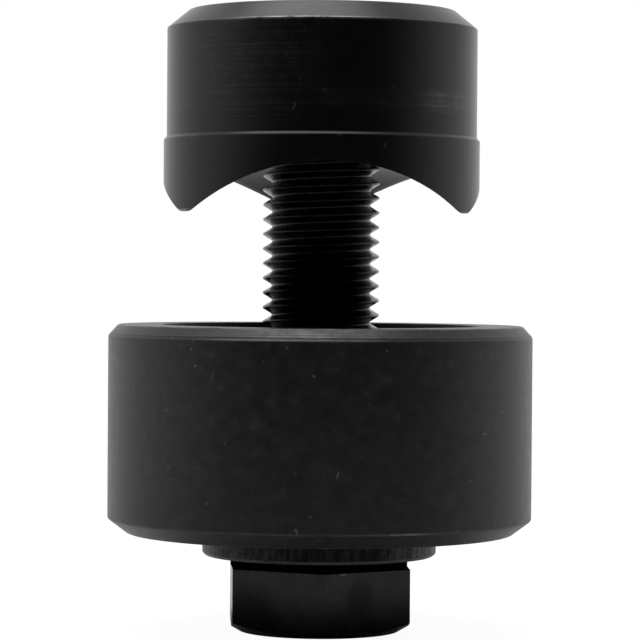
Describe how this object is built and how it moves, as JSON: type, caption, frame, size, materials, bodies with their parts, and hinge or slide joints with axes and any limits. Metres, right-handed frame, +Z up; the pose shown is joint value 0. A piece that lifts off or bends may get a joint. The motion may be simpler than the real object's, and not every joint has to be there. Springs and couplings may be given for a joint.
{
  "type": "knockout punch",
  "caption": "Screw-driven knockout punch: a bolt on a ball thrust bearing draws a scalloped, pointed punch through sheet metal into a cup-shaped die.",
  "frame": {"origin": "middle of the bolt head's resting face, which is the bottom of the tool as it stands", "axes": "+Z up along the draw bolt, -Y towards the picture's viewer"},
  "size_m": [0.0724, 0.0724, 0.1058],
  "materials": {
    "punch_steel": "burnished black tool steel, semi-gloss",
    "die_steel": "burnished black tool steel, semi-gloss, light scratches",
    "bolt_steel": "black oxide alloy steel",
    "race_steel": "blackened bearing steel with a rough-ground edge",
    "ball_steel": "polished bearing steel",
    "cage_brass": "machined brass"
  },
  "bodies": {
    "die": {"die": "die_steel", "upper_race": "ball_steel"},
    "draw_bolt": {"draw_bolt": "bolt_steel", "lower_race": "race_steel"},
    "punch": {"punch": "punch_steel"},
    "ball_cage": {"ball_cage": "cage_brass"},
    "ball_01": {"ball_01": "ball_steel"},
    "ball_02": {"ball_02": "ball_steel"},
    "ball_03": {"ball_03": "ball_steel"},
    "ball_04": {"ball_04": "ball_steel"},
    "ball_05": {"ball_05": "ball_steel"},
    "ball_06": {"ball_06": "ball_steel"},
    "ball_07": {"ball_07": "ball_steel"},
    "ball_08": {"ball_08": "ball_steel"},
    "ball_09": {"ball_09": "ball_steel"},
    "ball_10": {"ball_10": "ball_steel"}
  },
  "joints": [
    {"name": "bolt_turn", "type": "hinge", "parent": "die", "child": "draw_bolt", "pos_m": [0, 0, 0], "axis": [0, 0, 1], "range_deg": [-2880, 5040]},
    {"name": "punch_draw", "type": "slide", "parent": "die", "child": "punch", "axis": [0, 0, 1], "range_m": [-0.035, 0.02]},
    {"name": "cage_turn", "type": "hinge", "parent": "die", "child": "ball_cage", "pos_m": [0, 0, 0.0199], "axis": [0, 0, 1], "range_deg": [-1440.01, 2520.01]},
    {"name": "ball_01_roll", "type": "hinge", "parent": "ball_cage", "child": "ball_01", "pos_m": [0.015, 0, 0.0199], "axis": [1, 0, 0], "range_deg": [-5400.01, 9450.01]},
    {"name": "ball_02_roll", "type": "hinge", "parent": "ball_cage", "child": "ball_02", "pos_m": [0.01214, 0.00882, 0.0199], "axis": [0.809, 0.5878, 0], "range_deg": [-5400.01, 9450.01]},
    {"name": "ball_03_roll", "type": "hinge", "parent": "ball_cage", "child": "ball_03", "pos_m": [0.00464, 0.01427, 0.0199], "axis": [0.309, 0.9511, 0], "range_deg": [-5400.01, 9450.01]},
    {"name": "ball_04_roll", "type": "hinge", "parent": "ball_cage", "child": "ball_04", "pos_m": [-0.00464, 0.01427, 0.0199], "axis": [-0.309, 0.9511, 0], "range_deg": [-5400.01, 9450.01]},
    {"name": "ball_05_roll", "type": "hinge", "parent": "ball_cage", "child": "ball_05", "pos_m": [-0.01214, 0.00882, 0.0199], "axis": [-0.809, 0.5878, 0], "range_deg": [-5400.01, 9450.01]},
    {"name": "ball_06_roll", "type": "hinge", "parent": "ball_cage", "child": "ball_06", "pos_m": [-0.015, 0, 0.0199], "axis": [-1, 0, 0], "range_deg": [-5400.01, 9450.01]},
    {"name": "ball_07_roll", "type": "hinge", "parent": "ball_cage", "child": "ball_07", "pos_m": [-0.01214, -0.00882, 0.0199], "axis": [-0.809, -0.5878, 0], "range_deg": [-5400.01, 9450.01]},
    {"name": "ball_08_roll", "type": "hinge", "parent": "ball_cage", "child": "ball_08", "pos_m": [-0.00464, -0.01427, 0.0199], "axis": [-0.309, -0.9511, 0], "range_deg": [-5400.01, 9450.01]},
    {"name": "ball_09_roll", "type": "hinge", "parent": "ball_cage", "child": "ball_09", "pos_m": [0.00464, -0.01427, 0.0199], "axis": [0.309, -0.9511, 0], "range_deg": [-5400.01, 9450.01]},
    {"name": "ball_10_roll", "type": "hinge", "parent": "ball_cage", "child": "ball_10", "pos_m": [0.01214, -0.00882, 0.0199], "axis": [0.809, -0.5878, 0], "range_deg": [-5400.01, 9450.01]}
  ],
  "couplings": [
    {"joint": "punch_draw", "follows": "bolt_turn", "m_per_rad": -0.00039789},
    {"joint": "cage_turn", "follows": "bolt_turn", "ratio": 0.5},
    {"joint": "ball_01_roll", "follows": "bolt_turn", "ratio": 1.875},
    {"joint": "ball_02_roll", "follows": "bolt_turn", "ratio": 1.875},
    {"joint": "ball_03_roll", "follows": "bolt_turn", "ratio": 1.875},
    {"joint": "ball_04_roll", "follows": "bolt_turn", "ratio": 1.875},
    {"joint": "ball_05_roll", "follows": "bolt_turn", "ratio": 1.875},
    {"joint": "ball_06_roll", "follows": "bolt_turn", "ratio": 1.875},
    {"joint": "ball_07_roll", "follows": "bolt_turn", "ratio": 1.875},
    {"joint": "ball_08_roll", "follows": "bolt_turn", "ratio": 1.875},
    {"joint": "ball_09_roll", "follows": "bolt_turn", "ratio": 1.875},
    {"joint": "ball_10_roll", "follows": "bolt_turn", "ratio": 1.875}
  ]
}
